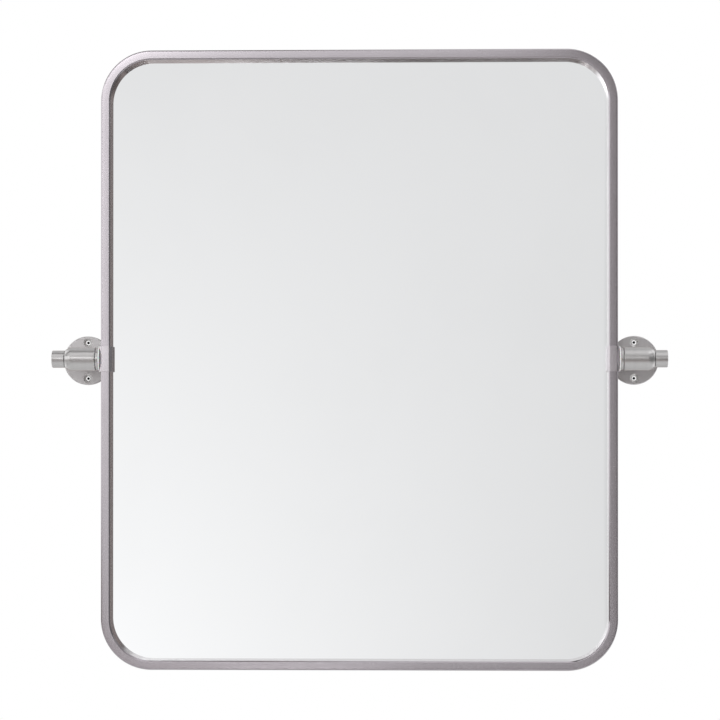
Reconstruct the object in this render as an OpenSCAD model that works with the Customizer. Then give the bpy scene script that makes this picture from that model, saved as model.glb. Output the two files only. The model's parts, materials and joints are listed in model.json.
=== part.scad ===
// Pivot wall mirror.
// A glass in a thin channel frame hangs between two wall brackets and tilts about one level axis.
// Millimetres. +Z is up, +X is right as a viewer sees it, and the wall is the plane Y = 0, with the
// mirror on its -Y side. The origin is on the wall, halfway between the brackets, at pivot height.
// Every bracket piece is drawn on the right side and mirrored to the left one.

/* [Frame] */
// Width of the frame, outside
frame_w = 508; // [400:1:700]
// Height of the frame, outside
frame_h = 609.6; // [450:0.1:900]
// Depth of the frame, front to back
frame_d = 25.4; // [24:0.1:40]
// Width of the band seen from the front
face_w = 9.2; // [8.5:0.1:14]
// Radius of the outer corners
corner_r = 50; // [25:1:90]
// Thickness of the frame's sheet metal
sheet_t = 1.2; // [0.8:0.1:1.6]
// Depth of the inner wall, from the front to the glass
lip_d = 13; // [12.5:0.1:18]
// Rounding of the outer front edge
outer_edge_r = 1.5; // [1.4:0.1:4]
// Rounding of the inner front edge
inner_edge_r = 1.4; // [1.3:0.1:2]

/* [Glass and back] */
// Thickness of the mirror glass
glass_t = 4; // [3:0.5:5]
// Thickness of the foam pad behind the glass
foam_t = 1; // [0.5:0.5:2]
// Thickness of the backing board
board_t = 3; // [2:0.5:4]
// Gap all round between the glass and the inside of the frame
glass_gap = 0.8; // [0.5:0.1:1]
// How far the foam pad stops short of the glass edge
foam_inset = 4; // [2:1:10]

/* [Retaining tabs] */
// Tabs along each upright rail
side_tabs = 3; // [2:1:5]
// Tabs along each level rail
end_tabs = 2; // [1:1:4]
// Width of one tab, along its rail
tab_w = 16; // [10:1:25]
// Length of the foot that holds the board
tab_foot = 15; // [12:1:25]
// Thickness of a tab
tab_t = 1; // [0.8:0.1:1.2]
// Outside radius of the fold in a tab
tab_fold_r = 1.4; // [1.2:0.1:2]
// Rounding of the corners of a tab's foot
tab_corner_r = 3; // [1:0.5:5]
// Shank diameter of a tab screw
tab_screw_d = 3; // [2.5:0.5:3.5]
// Head diameter of a tab screw
tab_head_d = 6; // [5:0.5:7]
// Head height of a tab screw
tab_head_t = 1.6; // [1.2:0.1:1.8]

/* [Pivot] */
// Distance from the wall to the pivot axis
pivot_out = 55; // [48:1:90]
// Distance from the frame's back edge to the pivot axis
pivot_depth = 17.5; // [16:0.1:19]
// Height of the pivot axis above the middle of the frame
pivot_rise = 1; // [0:0.5:6]
// Diameter of the pivot stud
stud_d = 6; // [5:0.5:7]
// Thickness of the saddle's sheet metal
saddle_t = 1.4; // [1:0.1:2]
// Height of the saddle
saddle_h = 25; // [20:1:34]
// Gap between the saddle's inner cheek and the glass
cheek_gap = 0.5; // [0.3:0.1:1]
// How far the saddle's outer cheek stops short of the frame's back edge
saddle_back_gap = 3; // [1:0.5:6]
// Rounding of the saddle's rear corners
saddle_corner_r = 3; // [1:0.5:6]
// Diameter of the boss on the pivot block
boss_d = 10; // [9:0.5:12]
// Length of the pivot block, along the rail
block_l = 30; // [24:1:40]
// Depth of the pivot block, front to back
block_d = 9; // [8:0.2:9.2]
// Diameter of the nylon washer
nylon_d = 25; // [22:0.5:28]
// Thickness of the nylon washer
nylon_t = 1.2; // [0.8:0.1:2]

/* [Bracket] */
// Diameter of the barrel
barrel_d = 23; // [20:0.5:28]
// Length of the barrel
barrel_l = 30.3; // [26:0.1:40]
// Radius of the rounded shoulder at the outer end
shoulder_r = 9.5; // [9:0.1:14]
// Length of the rounded shoulder
shoulder_l = 6.9; // [5:0.1:8]
// Chamfer on the inner end
barrel_chamfer = 0.6; // [0.3:0.1:1]
// Diameter of the bush flange
flange_d = 21.5; // [18:0.5:22]
// Thickness of the bush flange
flange_t = 3.2; // [2:0.1:5]
// Diameter of the bush sleeve
sleeve_d = 12; // [10:0.5:13]
// Length of the bush sleeve
sleeve_l = 6; // [5:0.5:7]
// Diameter of the post
post_d = 19; // [16:0.5:20]
// Diameter of the post's foot
foot_d = 21.6; // [20.5:0.1:24]
// Radius of the cove between post and foot
cove_r = 6; // [3:0.5:8]
// Height of the straight rim of the foot
foot_rim = 0.8; // [0.4:0.1:1.5]
// Diameter of the spigot that enters the barrel
spigot_d = 10; // [8:0.5:10.5]
// Length of the spigot inside the barrel
spigot_l = 7; // [5:0.5:7.5]

/* [Knob] */
// Diameter of the knob
knob_d = 17; // [15:0.5:22]
// Length of the knob
knob_l = 12.5; // [10:0.1:20]
// Chamfer on the knob's edges
knob_chamfer = 0.5; // [0.2:0.1:1]
// Gap between knob and barrel
knob_gap = 0.3; // [0.2:0.1:0.6]
// Diameter of the knob's neck
neck_d = 10.5; // [9.5:0.5:11]
// Length of the knob's neck
neck_l = 2.2; // [1.5:0.1:3]
// Depth to which the stud enters the knob
stud_grip = 9; // [6:0.5:9.5]
// Diameter of the spring washer
spring_d = 11.6; // [10.5:0.1:12]
// Thickness of the spring washer
spring_t = 0.6; // [0.4:0.1:0.8]
// Dish of the spring washer
spring_dish = 0.4; // [0.2:0.1:0.6]

/* [Wall plate] */
// Diameter of the wall plate
plate_d = 49; // [46:0.5:60]
// Thickness of the wall plate
plate_t = 4; // [3.5:0.5:6]
// Rounding of the plate's front edge
plate_edge_r = 1.2; // [0.5:0.1:2]
// Distance between the two screw holes
hole_spacing = 36; // [35.5:0.5:40]
// Diameter of a screw hole
hole_d = 4.4; // [3.5:0.1:5]
// Diameter of its countersink, at the plate's face
countersink_d = 8.6; // [7:0.1:9]
// Thread diameter of the post screw
post_screw_d = 5; // [4:0.5:6]
// Length of the post screw
post_screw_l = 16; // [12:1:20]
// Head diameter of the post screw
post_head_d = 9.4; // [8:0.1:10]
// Depth to which the post screw's head lies below the plate's back
head_recess = 0.3; // [0.1:0.1:0.6]

/* [Hidden] */
// Running clearance of a shaft in its hole, on the radius
run_fit = 0.06;
// Clearance of a seated piece in its place, on each side
seat_fit = 0.05;
// How far a cut runs past the surface that it opens
past = 1;
// Smoothness of round surfaces
$fn = 96;

// Least radius on the inside of a bend in sheet metal
least_bend_r = 0.2;

inner_r = corner_r - face_w;
outer_bend_r = max(outer_edge_r, sheet_t + least_bend_r);
inner_bend_r = max(inner_edge_r, sheet_t + least_bend_r);
fold_r = max(tab_fold_r, tab_t + least_bend_r);
back_y = pivot_depth - pivot_out;
frame_z = -pivot_rise;
glass_z = frame_d - lip_d;
foam_z = glass_z - glass_t;
board_z = foam_z - foam_t;
tab_z = board_z - board_t;
screw_reach = tab_foot - tab_head_d;

// The stack from the frame outwards along the pivot axis
rail_x = frame_w/2;
channel_x = rail_x - sheet_t;
saddle_x = rail_x + seat_fit + saddle_t;
bush_x = saddle_x + nylon_t;
barrel_x = bush_x + flange_t;
post_x = barrel_x + barrel_l/2;
barrel_end_x = barrel_x + barrel_l;
knob_x = barrel_end_x + knob_gap;

bore_d = stud_d + 2*run_fit;
spring_bore_d = stud_d + 0.6;
pocket_d = spring_d + 0.8;
pocket_depth = neck_l - knob_gap + spring_dish + spring_t + 0.1;
boss_tip_x = saddle_x + nylon_t/2;

// Draws its children on the left side
module on_left() { mirror([1, 0, 0]) children(); }

// Lays its children in the face of the mirror: X to the right, Y up, Z from the back edge of the
// frame towards the viewer
module in_face() { translate([0, back_y, frame_z]) rotate([90, 0, 0]) children(); }

// Turns its children about the pivot axis: their Z becomes +X
module on_pivot(x) { translate([x, -pivot_out, 0]) rotate([0, 90, 0]) children(); }

// Turns its children about the post axis: their Z runs from the wall towards the viewer
module on_post() { translate([post_x, 0, 0]) rotate([90, 0, 0]) children(); }

// A level disc or tube with the same chamfer on both rims
module turned_disc(d, h, chamfer) {
    cylinder(h = chamfer, d1 = d - 2*chamfer, d2 = d);
    translate([0, 0, chamfer]) cylinder(h = h - 2*chamfer, d = d);
    translate([0, 0, h - chamfer]) cylinder(h = chamfer, d1 = d, d2 = d - 2*chamfer);
}

// What a quarter round of radius r takes off a square corner that points along +X and +Y
module corner_waste(r) {
    difference() {
        square(r + past);
        circle(r);
    }
}

// A strip with rounded front corners, as wide and deep as given, with its back on Y = 0
module rounded_strip(w, d, r_out, r_in) {
    difference() {
        square([w, d]);
        translate([w - r_out, d - r_out]) corner_waste(r_out);
        translate([r_in, d - r_in]) mirror([1, 0]) corner_waste(r_in);
    }
}

// The channel that the frame is bent from: outer wall, face, and a shorter inner wall
module channel_section() {
    difference() {
        translate([inner_r, 0]) rounded_strip(face_w, frame_d, outer_bend_r, inner_bend_r);
        translate([inner_r + sheet_t, -past])
            rounded_strip(face_w - 2*sheet_t, frame_d - sheet_t + past,
                          outer_bend_r - sheet_t, inner_bend_r - sheet_t);
        translate([inner_r - past, -past]) square([sheet_t + 2*past, glass_z + past]);
    }
}

module rail(run) {
    rotate([90, 0, 0]) linear_extrude(height = run, center = true) channel_section();
}

module frame() {
    color("#b8b4b8") difference() {
        in_face() for (quarter = [0:3]) {
            upright = quarter % 2 == 0;
            run = (upright ? frame_h : frame_w) - 2*corner_r;
            reach = (upright ? frame_w : frame_h)/2 - corner_r;
            rotate([0, 0, 90*quarter]) {
                translate([reach, 0, 0]) rail(run);
                translate([reach, run/2, 0]) rotate_extrude(angle = 90) channel_section();
            }
        }
        boss_hole();
        on_left() boss_hole();
    }
}

// The hole in the rail and the saddle that the boss of the pivot block fills
module boss_hole() {
    on_pivot(channel_x - past) cylinder(h = sheet_t + saddle_t + 2*past, d = boss_d + 2*seat_fit);
}

// A rounded panel that stops the given distance short of the inside of the channel
module panel(gap, thickness) {
    w = frame_w - 2*sheet_t - 2*gap;
    h = frame_h - 2*sheet_t - 2*gap;
    r = corner_r - sheet_t - gap;
    linear_extrude(height = thickness) {
        square([w - 2*r, h], center = true);
        square([w, h - 2*r], center = true);
        for (x = [-1, 1], y = [-1, 1]) translate([x*(w/2 - r), y*(h/2 - r)]) circle(r);
    }
}

module mirror_glass() {
    color("#e6e8ea") in_face() translate([0, 0, foam_z]) panel(glass_gap, glass_t);
}

module foam_pad() {
    color("white") in_face() translate([0, 0, board_z]) panel(glass_gap + foam_inset, foam_t);
}

module backing_board() {
    color("#4b4744") in_face() difference() {
        translate([0, 0, tab_z]) panel(glass_gap, board_t);
        at_tabs() tab_hole(board_t);
    }
}

// Puts its children at each tab, with X pointing outwards and X = 0 on the inside of the channel
module at_tabs() {
    for (side = [0:3]) {
        upright = side % 2 == 0;
        count = upright ? side_tabs : end_tabs;
        run = (upright ? frame_h : frame_w) - 2*corner_r - 2*tab_w;
        reach = (upright ? frame_w : frame_h)/2 - sheet_t;
        for (i = [0:count - 1])
            rotate([0, 0, 90*side]) translate([reach, run*((i + 0.5)/count - 0.5), tab_z]) children();
    }
}

// A block below and left of the origin, with a rounded corner there
module fold_block(w, h, r) {
    difference() {
        translate([-w, -h]) square([w, h]);
        translate([-r, -r]) corner_waste(r);
    }
}

// An angle tab folded from strip: one leg flat on the rail, one foot flat on the board
module tab() {
    leg_h = tab_z - tab_t/2;
    difference() {
        rotate([90, 0, 0]) linear_extrude(height = tab_w, center = true) difference() {
            fold_block(tab_foot, leg_h, fold_r);
            translate([-tab_t, -tab_t]) fold_block(tab_foot, leg_h, fold_r - tab_t);
        }
        tab_hole(0);
        for (s = [-1, 1]) tab_foot_corner(s);
    }
}

// What rounds one free corner of a tab's foot
module tab_foot_corner(s) {
    translate([tab_corner_r - tab_foot, s*(tab_w/2 - tab_corner_r), -tab_t - past])
        mirror([1, 0, 0]) mirror([0, s < 0 ? 1 : 0, 0])
            linear_extrude(height = tab_t + 2*past) corner_waste(tab_corner_r);
}

// The hole for a tab screw, through the tab and as far as the given height beyond it
module tab_hole(beyond) {
    translate([-screw_reach, 0, -tab_t - past])
        cylinder(h = tab_t + beyond + 2*past, d = tab_screw_d + 2*seat_fit);
}

module retaining_tabs() {
    color("#c9c9c9") in_face() at_tabs() tab();
}

// A pan-head screw in each tab
module tab_screws() {
    color("#d8d8d8") in_face() at_tabs() translate([-screw_reach, 0, 0]) {
        translate([0, 0, -tab_t]) cylinder(h = tab_t + board_t - seat_fit, d = tab_screw_d);
        translate([0, 0, -tab_t - tab_head_t]) intersection() {
            cylinder(h = tab_head_t, d = tab_head_d);
            translate([0, 0, tab_head_d*0.85]) sphere(d = tab_head_d*1.7);
        }
    }
}

// Flat block inside the channel, with a boss that passes through the rail and the saddle
module pivot_block() {
    block_t = face_w - 2*sheet_t - 2*seat_fit;
    end_run = block_l/2 - block_d/2;
    color("#a9a9ad") difference() {
        union() {
            on_pivot(channel_x - block_t) linear_extrude(height = block_t) {
                square([2*end_run, block_d], center = true);
                for (s = [-1, 1]) translate([s*end_run, 0]) circle(d = block_d);
            }
            on_pivot(channel_x - past) cylinder(h = boss_tip_x - channel_x + past, d = boss_d);
        }
        on_pivot(rail_x - face_w) cylinder(h = face_w + boss_tip_x, d = bore_d);
    }
}

// Sheet strap bent over the rail, with a short cheek inside the frame
module saddle() {
    w = face_w + 2*saddle_t + 2*seat_fit;
    d = frame_d + saddle_t + seat_fit;
    color("#c6c2c8") difference() {
        translate([saddle_x - w, back_y, 0]) mirror([0, 1, 0])
            linear_extrude(height = saddle_h, center = true) difference() {
                rounded_strip(w, d, outer_bend_r + saddle_t, inner_bend_r + saddle_t);
                translate([saddle_t, -past])
                    rounded_strip(w - 2*saddle_t, d - saddle_t + past, outer_bend_r, inner_bend_r);
                translate([-past, -past]) square([w - past, glass_z + cheek_gap + past]);
                translate([-past, -past]) square([w + 2*past, saddle_back_gap + past]);
            }
        for (s = [-1, 1]) saddle_rear_corner(s);
        boss_hole();
    }
}

// What rounds one rear corner of the saddle's outer cheek
module saddle_rear_corner(s) {
    translate([rail_x - past, back_y - saddle_back_gap - saddle_corner_r,
               s*(saddle_h/2 - saddle_corner_r)])
        rotate([90, 0, 90]) mirror([0, s < 0 ? 1 : 0])
            linear_extrude(height = saddle_t + 2*past) corner_waste(saddle_corner_r);
}

module nylon_washer() {
    color("white") difference() {
        on_pivot(saddle_x) cylinder(h = nylon_t, d = nylon_d);
        on_pivot(saddle_x - past) cylinder(h = nylon_t + 2*past, d = boss_d + 4*seat_fit);
    }
}

// Flanged bush: the flange bears on the washer and the sleeve sits in the barrel
module bush() {
    color("#cdcbd0") difference() {
        union() {
            on_pivot(bush_x) turned_disc(flange_d, flange_t, barrel_chamfer);
            on_pivot(barrel_x - past) cylinder(h = sleeve_l + past, d = sleeve_d);
        }
        on_pivot(bush_x - past) cylinder(h = flange_t + sleeve_l + 2*past, d = bore_d);
    }
}

// Half section of the barrel, with its axis on X = 0 and its inner end on Y = 0
module barrel_section() {
    difference() {
        square([barrel_d/2, barrel_l]);
        translate([barrel_d/2 - barrel_chamfer, 0]) rotate(-45) square(2*barrel_chamfer);
        translate([0, barrel_l - shoulder_l]) difference() {
            square([barrel_d, shoulder_l + past]);
            translate([barrel_d/2 - shoulder_r, 0]) circle(shoulder_r);
            square([barrel_d/2 - shoulder_r, shoulder_l + past]);
        }
    }
}

module barrel() {
    color("#b4b2b4") difference() {
        on_pivot(barrel_x) rotate_extrude() barrel_section();
        on_pivot(barrel_x - past) cylinder(h = barrel_l + 2*past, d = bore_d);
        on_pivot(barrel_x - past) cylinder(h = sleeve_l + past + seat_fit, d = sleeve_d + 2*seat_fit);
        on_pivot(barrel_end_x - pocket_depth) cylinder(h = pocket_depth + past, d = pocket_d);
        on_post() translate([0, 0, pivot_out - barrel_d/2 - past])
            cylinder(h = spigot_l + past + seat_fit, d = spigot_d + 2*seat_fit);
    }
}

// Dished spring ring between the floor of the barrel's pocket and the knob's neck
module spring_washer() {
    color("#8d8d90") on_pivot(barrel_end_x - pocket_depth) rotate_extrude()
        polygon([[spring_d/2, 0], [spring_d/2, spring_t],
                 [spring_bore_d/2, spring_t + spring_dish], [spring_bore_d/2, spring_dish]]);
}

module knob() {
    color("#b9b9bb") difference() {
        union() {
            on_pivot(knob_x) turned_disc(knob_d, knob_l, knob_chamfer);
            on_pivot(knob_x - neck_l) cylinder(h = neck_l + past, d = neck_d);
        }
        on_pivot(knob_x - neck_l - past) cylinder(h = neck_l + past + stud_grip, d = stud_d + 2*seat_fit);
    }
}

// Plain axle from the knob through the barrel and the rail into the pivot block
module pivot_stud() {
    tip_x = rail_x - face_w + sheet_t + saddle_t/2;
    color("#9a9a9e") on_pivot(tip_x) turned_disc(stud_d, knob_x + stud_grip - tip_x, stud_d/12);
}

// Half section of the post below its coped end, with its axis on X = 0 and the wall on Y = 0
module post_section() {
    cove_h = sqrt(pow(cove_r, 2) - pow(cove_r - (foot_d - post_d)/2, 2));
    cove_top = plate_t + foot_rim + cove_h;
    difference() {
        translate([0, plate_t]) square([foot_d/2, pivot_out - plate_t]);
        translate([post_d/2 + cove_r, cove_top]) circle(cove_r);
        translate([post_d/2, cove_top]) square([foot_d, pivot_out]);
    }
}

module post() {
    color("#b4b2b4") difference() {
        union() {
            difference() {
                on_post() rotate_extrude() post_section();
                on_pivot(barrel_x) cylinder(h = barrel_l, d = barrel_d + 2*seat_fit);
            }
            on_post() translate([0, 0, plate_t + post_screw_l])
                cylinder(h = pivot_out - barrel_d/2 + spigot_l - plate_t - post_screw_l, d = spigot_d);
        }
        on_post() translate([0, 0, plate_t - past])
            cylinder(h = post_screw_l - plate_t + 2*past, d = post_screw_d + 2*seat_fit);
    }
}

module wall_plate() {
    color("#a19fa1") difference() {
        on_post() rotate_extrude() difference() {
            square([plate_d/2, plate_t]);
            translate([plate_d/2 - plate_edge_r, plate_t - plate_edge_r]) corner_waste(plate_edge_r);
        }
        for (s = [-1, 1]) on_post() translate([0, s*hole_spacing/2, 0]) {
            sink = (countersink_d - hole_d)/2;
            translate([0, 0, -past]) cylinder(h = plate_t + 2*past, d = hole_d);
            translate([0, 0, plate_t - sink]) cylinder(h = sink + past, d1 = hole_d, d2 = countersink_d + 2*past);
        }
        on_post() post_screw_shape(seat_fit);
        on_post() translate([0, 0, -past]) cylinder(h = head_recess + past, d = post_head_d + 2*seat_fit);
    }
}

// Countersunk screw that enters from the back of the plate, grown all round by the given gap
module post_screw_shape(gap) {
    head_h = (post_head_d - post_screw_d)/2;
    translate([0, 0, head_recess]) {
        cylinder(h = head_h, d1 = post_head_d + 2*gap, d2 = post_screw_d + 2*gap);
        cylinder(h = post_screw_l, d = post_screw_d + 2*gap);
    }
}

module post_screw() { color("#c4c4c8") on_post() post_screw_shape(0); }

frame();
mirror_glass();
foam_pad();
backing_board();
retaining_tabs();
tab_screws();
on_left() pivot_block();  // left_pivot_block
pivot_block();  // right_pivot_block
on_left() saddle();  // left_saddle
saddle();  // right_saddle
on_left() nylon_washer();  // left_nylon_washer
nylon_washer();  // right_nylon_washer
on_left() bush();  // left_bush
bush();  // right_bush
on_left() barrel();  // left_barrel
barrel();  // right_barrel
on_left() spring_washer();  // left_spring_washer
spring_washer();  // right_spring_washer
on_left() knob();  // left_knob
knob();  // right_knob
on_left() pivot_stud();  // left_pivot_stud
pivot_stud();  // right_pivot_stud
on_left() post();  // left_post
post();  // right_post
on_left() wall_plate();  // left_wall_plate
wall_plate();  // right_wall_plate
on_left() post_screw();  // left_post_screw
post_screw();  // right_post_screw
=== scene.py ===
# %% [markdown]
# # Pivot wall mirror
# A mirror in a bent channel frame tilts between two turned brackets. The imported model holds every
# piece at its real place, and this script models the pieces that show again, with rounded edges,
# and gives them brushed nickel, silvered glass and the other finishes of the real thing.
# Metres. +Z is up, +X is right, the wall is the plane Y = 0 and the mirror faces -Y.

import json
import math

import bmesh
import bpy
from mathutils import Matrix, Vector


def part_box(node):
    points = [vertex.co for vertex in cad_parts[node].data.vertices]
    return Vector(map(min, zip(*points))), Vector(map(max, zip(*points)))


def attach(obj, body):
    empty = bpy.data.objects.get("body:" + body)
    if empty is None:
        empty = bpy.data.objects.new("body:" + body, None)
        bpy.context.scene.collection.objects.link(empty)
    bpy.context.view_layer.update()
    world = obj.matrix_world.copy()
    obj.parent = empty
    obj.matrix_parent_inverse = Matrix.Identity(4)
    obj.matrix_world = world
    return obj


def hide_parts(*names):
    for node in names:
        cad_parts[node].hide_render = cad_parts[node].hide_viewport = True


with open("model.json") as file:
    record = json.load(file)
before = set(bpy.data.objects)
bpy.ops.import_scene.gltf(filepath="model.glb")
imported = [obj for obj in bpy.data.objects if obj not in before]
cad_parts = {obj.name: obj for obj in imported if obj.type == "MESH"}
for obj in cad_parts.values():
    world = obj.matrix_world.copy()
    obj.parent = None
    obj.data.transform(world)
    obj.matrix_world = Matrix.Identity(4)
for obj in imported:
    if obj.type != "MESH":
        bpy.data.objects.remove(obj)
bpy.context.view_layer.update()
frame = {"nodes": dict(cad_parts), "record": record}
nodes = frame["nodes"]
bodies = frame["record"]["behaviour"]["bodies"]
print("nodes:", len(nodes), "bodies:", sorted(bodies))

# %% [markdown]
# ## Sizes
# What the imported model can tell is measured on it: the outline of the frame, the planes of the glass
# and the places of the pieces along the pivot axis. Only the bends, roundings and bores inside a
# piece need numbers of their own, and they stand where that piece is made.

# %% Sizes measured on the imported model
MM = 0.001

frame_low, frame_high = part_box("frame")
FRONT_Y = frame_low.y
BACK_Y = frame_high.y
HALF_W = frame_high.x
HALF_H = (frame_high.z - frame_low.z) / 2
MID_Z = (frame_high.z + frame_low.z) / 2

GLASS_FRONT_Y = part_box("mirror_glass")[0].y
BOARD_BACK_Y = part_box("backing_board")[1].y
saddle_low, saddle_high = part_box("right_saddle")
nylon_low, nylon_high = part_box("right_nylon_washer")
barrel_low, barrel_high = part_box("right_barrel")
knob_low, knob_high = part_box("right_knob")
plate_low, plate_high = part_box("right_wall_plate")
screw_low, screw_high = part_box("right_post_screw")

AXIS_Y = (barrel_low.y + barrel_high.y) / 2
BARREL_R = (barrel_high.y - barrel_low.y) / 2
POST_X = (plate_low.x + plate_high.x) / 2
PLATE_R = (plate_high.x - plate_low.x) / 2
print("frame", round(2 * HALF_W, 4), "x", round(2 * HALF_H, 4), "pivot axis at y", round(AXIS_Y, 4))

# %% Sizes that several pieces share
CORNER_R = 50 * MM
CORNER_STEPS = 28
SHEET_T = 1.2 * MM
OUTER_EDGE_R = 1.5 * MM
INNER_EDGE_R = 1.4 * MM
BOSS_HOLE_R = 5.05 * MM
# the play that a piece has in its seat, and how near a plane an edge or a point counts as on it
SEAT_FIT = 0.05 * MM
NEAR = 0.1 * MM

# %% [markdown]
# ## Working by hand, in code
# Each piece starts as a primitive, added at its place with nothing else selected, and is opened for
# editing. Edges and faces are then picked by where they are, as one would click on them.

# %% Start a piece and pick its parts
def begin(name, add, **place):
    """Adds a primitive under the piece's name and opens it for editing, with its place in its mesh."""
    bpy.ops.object.select_all(action="DESELECT")
    add(**place)
    piece = bpy.context.object
    piece.name = name
    piece.data.name = name
    bpy.ops.object.transform_apply(location=True, rotation=True, scale=True)
    bpy.ops.object.mode_set(mode="EDIT")
    bpy.ops.mesh.select_all(action="SELECT")
    return piece


def middle(part):
    """The middle of a face or an edge, or the place of a vertex."""
    if isinstance(part, bmesh.types.BMVert):
        return part.co
    return sum((v.co for v in part.verts), Vector()) / len(part.verts)


def pick(piece, kind, rule):
    """In edit mode, selects the vertices, edges or faces whose middle the rule accepts."""
    bpy.ops.mesh.select_mode(type=kind)
    bpy.ops.mesh.select_all(action="DESELECT")
    mesh = bmesh.from_edit_mesh(piece.data)
    parts = {"VERT": mesh.verts, "EDGE": mesh.edges, "FACE": mesh.faces}[kind]
    found = [part for part in parts if rule(middle(part))]
    for part in found:
        part.select_set(True)
    mesh.select_flush_mode()
    bmesh.update_edit_mesh(piece.data)
    return len(found)


def pull(step):
    """Extrudes what is selected by a step."""
    bpy.ops.mesh.extrude_region_move(TRANSFORM_OT_translate={"value": step})


def leave_editing():
    """Turns every face outward and goes back to object mode."""
    bpy.ops.mesh.select_all(action="SELECT")
    bpy.ops.mesh.normals_make_consistent(inside=False)
    bpy.ops.object.mode_set(mode="OBJECT")


def select_only(piece):
    bpy.ops.object.select_all(action="DESELECT")
    piece.select_set(True)
    bpy.context.view_layer.objects.active = piece


# %% Modifiers, cuts and shading
def apply_modifier(piece, kind, **settings):
    """Adds a modifier with these settings and applies it."""
    select_only(piece)
    modifier = piece.modifiers.new(kind.lower(), kind)
    for name, value in settings.items():
        setattr(modifier, name, value)
    bpy.ops.object.modifier_apply(modifier=modifier.name)


def combine(piece, tool, operation):
    """Cuts a tool out of a piece, or fuses it on, and puts the tool away."""
    apply_modifier(piece, "BOOLEAN", operation=operation, solver="EXACT", object=tool)
    bpy.data.objects.remove(tool)


def thicken(piece, thickness, **settings):
    """Gives a bent sheet its thickness, to the back of the flat part that faces the viewer."""
    flat = next(face for face in piece.data.polygons if abs(face.normal.y) > 0.99)
    apply_modifier(piece, "SOLIDIFY", thickness=thickness, offset=-1 if flat.normal.y < 0 else 1,
                   **settings)


def rod(start, end, radius, sides=64):
    """A round bar between two points, to cut or fuse with."""
    start, end = Vector(start), Vector(end)
    run = end - start
    turn_to = run.to_track_quat("Z", "Y").to_euler()
    begin("rod", bpy.ops.mesh.primitive_cone_add, vertices=sides, radius1=radius, radius2=radius,
          depth=run.length, location=(start + end) / 2, rotation=turn_to)
    bpy.ops.object.mode_set(mode="OBJECT")
    return bpy.context.object


def round_edges(piece, width, segments=3, sharper_than=35):
    """Breaks every sharp edge with a small rounding, as tumbling or a file does."""
    apply_modifier(piece, "BEVEL", width=width, segments=segments, limit_method="ANGLE",
                   angle_limit=math.radians(sharper_than), use_clamp_overlap=True)


def shade(piece, sharp_from=32):
    """Smooth shading up to an angle, with flat faces kept flat beside their rounded edges."""
    select_only(piece)
    bpy.ops.object.shade_smooth_by_angle(angle=math.radians(sharp_from))
    apply_modifier(piece, "WEIGHTED_NORMAL", weight=50, keep_sharp=True)


def left_copy(piece, name):
    """A copy of a right-hand piece, mirrored to the left side."""
    select_only(piece)
    bpy.ops.object.duplicate()
    copy = bpy.context.object
    copy.name = name
    copy.data.name = name
    bpy.ops.object.mode_set(mode="EDIT")
    bpy.ops.mesh.select_all(action="SELECT")
    bpy.ops.transform.resize(value=(-1, 1, 1), center_override=(0, 0, 0))
    leave_editing()
    return copy


def two_finishes(piece, finish, other, rule):
    """Gives a piece one finish, and another on the faces that the rule accepts."""
    piece.data.materials.append(finish)
    piece.data.materials.append(other)
    for face in piece.data.polygons:
        face.material_index = 1 if rule(face) else 0


# %% Hand a finished piece to the model
def body_of_node(node):
    return next(body for body, members in bodies.items() if node in members)


def stand_in(piece, node, slot, *finishes):
    """The piece gets its finish, rides on the node's body and is shown in the node's place."""
    if not piece.data.materials:
        for finish in finishes:
            piece.data.materials.append(finish)
    shade(piece)
    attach(piece, body_of_node(node))
    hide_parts(node)
    print(piece.name, "stands for", node, "with", len(piece.data.polygons), "faces")


def both_sides(piece, node, slot, *finishes):
    """The same for a right-hand piece and its mirrored copy."""
    copy = left_copy(piece, "left_" + piece.name)
    piece.name = "right_" + piece.name
    piece.data.name = piece.name
    stand_in(piece, "right_" + node, slot, *finishes)
    stand_in(copy, "left_" + node, slot, *finishes)


# %% [markdown]
# ## Node groups for the finishes
# Brushing, blasting and handling leave marks that several finishes share. Each is a node group that
# is built once and gives a value between 0 and 1. A material decides what the value does.

# %% Small helpers for node trees
def feed(tree, source, socket):
    """Puts another node's output, or a plain value, into a socket."""
    if isinstance(source, bpy.types.NodeSocket):
        tree.links.new(source, socket)
    else:
        socket.default_value = source


def node(tree, kind, inputs=(), **settings):
    """Adds a node, makes its settings and feeds its inputs, given by name or number."""
    made = tree.nodes.new(kind)
    for name, value in settings.items():
        setattr(made, name, value)
    for key, source in dict(inputs).items():
        feed(tree, source, made.inputs[key])
    return made


def maths(tree, operation, first, second=0.0):
    return node(tree, "ShaderNodeMath", {0: first, 1: second}, operation=operation).outputs[0]


def stretch_range(tree, value, low, high):
    """Turns a value from 0 to 1 into one from low to high."""
    made = node(tree, "ShaderNodeMapRange", {"Value": value, "To Min": low, "To Max": high})
    return made.outputs["Result"]


# %% Build a node group and use it in a tree
def new_group(name, inputs, outputs):
    """A shader node group with named sockets. Returns the group, its inputs and its outputs."""
    group = bpy.data.node_groups.new(name, "ShaderNodeTree")
    for label, kind, value in inputs:
        socket = group.interface.new_socket(label, in_out="INPUT", socket_type=kind)
        socket.default_value = value
    for label in outputs:
        group.interface.new_socket(label, in_out="OUTPUT", socket_type="NodeSocketFloat")
    arrive = group.nodes.new("NodeGroupInput")
    leave = group.nodes.new("NodeGroupOutput")
    return group, arrive.outputs, leave.inputs


def use_group(tree, group, inputs):
    made = tree.nodes.new("ShaderNodeGroup")
    made.node_tree = group
    for key, source in inputs.items():
        feed(tree, source, made.inputs[key])
    return made.outputs


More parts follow.
